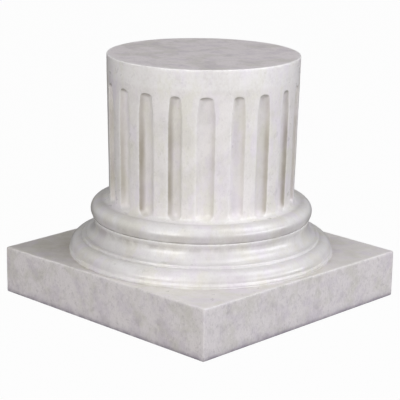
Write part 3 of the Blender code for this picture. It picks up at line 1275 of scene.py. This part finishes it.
@dataclass
class Viewpoint:
    """The camera. Lengths are in sides of the plinth, angles in degrees."""

    side: float
    azimuth: float = 43.82
    elevation: float = 14.99
    distance: float = 5.475
    target_height: float = 0.3531
    target_right: float = -0.0049
    roll: float = 0.954
    lens: float = 136.38
    sensor: float = 36.0

    @property
    def back(self) -> Vector:
        """Direction from the pedestal to the camera."""
        a, e = math.radians(self.azimuth), math.radians(self.elevation)
        return Vector((math.sin(a) * math.cos(e), -math.cos(a) * math.cos(e), math.sin(e)))

    def build(self) -> bpy.types.Object:
        """The camera as an object, set as the scene's own.

        Returns:
            The camera.
        """
        a, tilt = math.radians(self.azimuth), math.radians(self.roll)
        level = Vector((math.cos(a), math.sin(a), 0.0))
        target = Vector((0.0, 0.0, self.target_height)) + level * self.target_right
        place = (self.back * self.distance + target) * self.side
        right = (-self.back).cross(Vector((0.0, 0.0, 1.0))).normalized()
        up = right.cross(-self.back)
        across = right * math.cos(tilt) + up * math.sin(tilt)
        upward = up * math.cos(tilt) - right * math.sin(tilt)
        camera = bpy.data.cameras.new("viewpoint")
        camera.lens = self.lens
        camera.sensor_width = self.sensor
        camera.clip_start, camera.clip_end = 0.05, 60.0
        made = bpy.data.objects.new("viewpoint", camera)
        made.matrix_world = Matrix((across, upward, self.back)).transposed().to_4x4()
        made.location = place
        bpy.context.scene.collection.objects.link(made)
        bpy.context.scene.camera = made
        return made


@dataclass
class Softbox:
    """A large soft lamp. Its azimuth is measured from the camera towards the right, seen from above."""

    name: str
    azimuth: float
    elevation: float
    power: float
    width: float = 1.2
    height: float = 1.2
    distance: float = 2.2
    colour: Colour = (1.0, 1.0, 1.0)
    aim_height: float = 0.13

    def build(self, view_azimuth: float) -> bpy.types.Object:
        """The lamp as an object, facing the pedestal.

        Args:
            view_azimuth: The camera's azimuth in degrees.

        Returns:
            The lamp.
        """
        a, e = math.radians(view_azimuth + self.azimuth), math.radians(self.elevation)
        back = Vector((math.sin(a) * math.cos(e), -math.cos(a) * math.cos(e), math.sin(e)))
        lamp = bpy.data.lights.new(self.name, "AREA")
        lamp.shape = "RECTANGLE"
        lamp.size, lamp.size_y = self.width, self.height
        lamp.energy = self.power
        lamp.color = self.colour
        made = bpy.data.objects.new(self.name, lamp)
        made.location = back * self.distance + Vector((0.0, 0.0, self.aim_height))
        made.rotation_mode = "QUATERNION"
        made.rotation_quaternion = back.to_track_quat("Z", "Y")
        bpy.context.scene.collection.objects.link(made)
        return made


@dataclass
class Studio:
    """Plain soft light, a pale floor and a pale surround."""

    view_azimuth: float
    floor_half: float = 12.0
    floor_z: float = -0.0001
    floor_tone: Colour = (0.08, 0.08, 0.08)
    floor_lift: float = 0.93
    floor_glow: float = 1.05
    sky: tuple[tuple[float, Colour], ...] = (
        (0.500, (1.00, 1.00, 1.00)),
        (0.900, (1.00, 1.00, 1.00)),
        (1.000, (0.40, 0.40, 0.40)),
    )
    sky_strength: float = 0.30
    lamps: list[Softbox] = field(
        default_factory=lambda: [
            Softbox("front_softbox", 0.0, 6.0, 7.6, 2.54, 0.46),
            Softbox("front_left_softbox", -35.0, 6.0, 15.2, 1.3, 0.46),
            Softbox("right_softbox", 65.0, 6.0, 22.3, 2.6, 0.46, colour=COOL),
            Softbox("upper_left_softbox", -30.0, 30.0, 9.5, 1.2, 1.0),
            Softbox("key_softbox", 74.0, 46.0, 13.2, 1.3, 1.1, colour=COOL),
            Softbox("overhead_softbox", 62.0, 68.0, 4.4, 0.9, 0.42, colour=COOL),
            Softbox("top_left_softbox", -40.0, 76.0, 2.4, 0.7, 0.35),
        ]
    )

    def build_sky(self) -> None:
        """The surround, brighter towards the horizon than overhead."""
        world = bpy.data.worlds.new("studio")
        world.use_nodes = True
        bpy.context.scene.world = world
        graph = Graph(world.node_tree)
        where = graph.make("ShaderNodeTexCoord").outputs["Generated"]
        height = Amount(graph, graph.make("ShaderNodeSeparateXYZ", {}, {0: where}).outputs[2])
        ramp = graph.make("ShaderNodeValToRGB", {"stops": self.sky}, {0: height * 0.5 + 0.5})
        sockets = {"Color": ramp.outputs[0], "Strength": self.sky_strength}
        ground = graph.make("ShaderNodeBackground", {}, sockets)
        graph.make("ShaderNodeOutputWorld", {}, {"Surface": ground.outputs[0]})

    def build_floor(self) -> bpy.types.Object:
        """The pale floor, white where it is seen directly and dark for the light that it throws back.

        Returns:
            The floor.
        """
        half, z = self.floor_half, self.floor_z
        mesh = bpy.data.meshes.new("studio_floor")
        corners = [(-half, -half, z), (half, -half, z), (half, half, z), (-half, half, z)]
        mesh.from_pydata(corners, [], [(0, 1, 2, 3)])
        made = bpy.data.objects.new("studio_floor", mesh)
        bpy.context.scene.collection.objects.link(made)
        material = bpy.data.materials.new("studio_floor")
        material.use_nodes = True
        graph = Graph(material.node_tree)
        sockets = {"Color": (*self.floor_tone, 1.0)}
        plain = graph.make("ShaderNodeBsdfDiffuse", {}, sockets).outputs[0]
        glow = {"Color": (1.0, 1.0, 1.0, 1.0), "Strength": self.floor_glow}
        lit = graph.make("ShaderNodeEmission", {}, glow).outputs[0]
        seen = Amount(graph, graph.make("ShaderNodeLightPath").outputs["Is Camera Ray"])
        mixed = graph.make("ShaderNodeMixShader", {}, {0: seen * self.floor_lift, 1: plain, 2: lit})
        graph.make("ShaderNodeOutputMaterial", {}, {"Surface": mixed.outputs[0]})
        mesh.materials.append(material)
        return made

    def build(self) -> None:
        """The surround, the floor and the lamps."""
        self.build_sky()
        self.build_floor()
        for lamp in self.lamps:
            lamp.build(self.view_azimuth)
        bpy.context.scene.view_settings.view_transform = "Standard"
        bpy.context.scene.view_settings.look = "None"


def report(made: bpy.types.Object) -> None:
    """Logs a finished piece with its size and its number of triangles.

    Args:
        made: The piece.
    """
    triangles = sum(len(face.vertices) - 2 for face in made.data.polygons)
    size = tuple(round(value * 1000, 1) for value in made.dimensions)
    LOG.info("%s: %s triangles, %s mm", made.name, triangles, size)


def main() -> None:
    """Builds the casting, the studio and the camera, sized from the imported part's box."""
    logging.basicConfig(level=logging.INFO, format="%(name)s %(message)s")
    low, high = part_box(NODE)
    side, top_z = high[0] - low[0], high[2]
    columns = Columns()
    casting = Casting(Drum(columns, top_z), Mouldings(columns), Plinth(columns, side))
    made = casting.build()
    casting.dress(made, AgedStone())
    bpy.context.view_layer.update()
    report(made)
    view = Viewpoint(side)
    view.build()
    Studio(view.azimuth).build()
    bpy.context.view_layer.update()


if __name__ == "__main__":
    main()
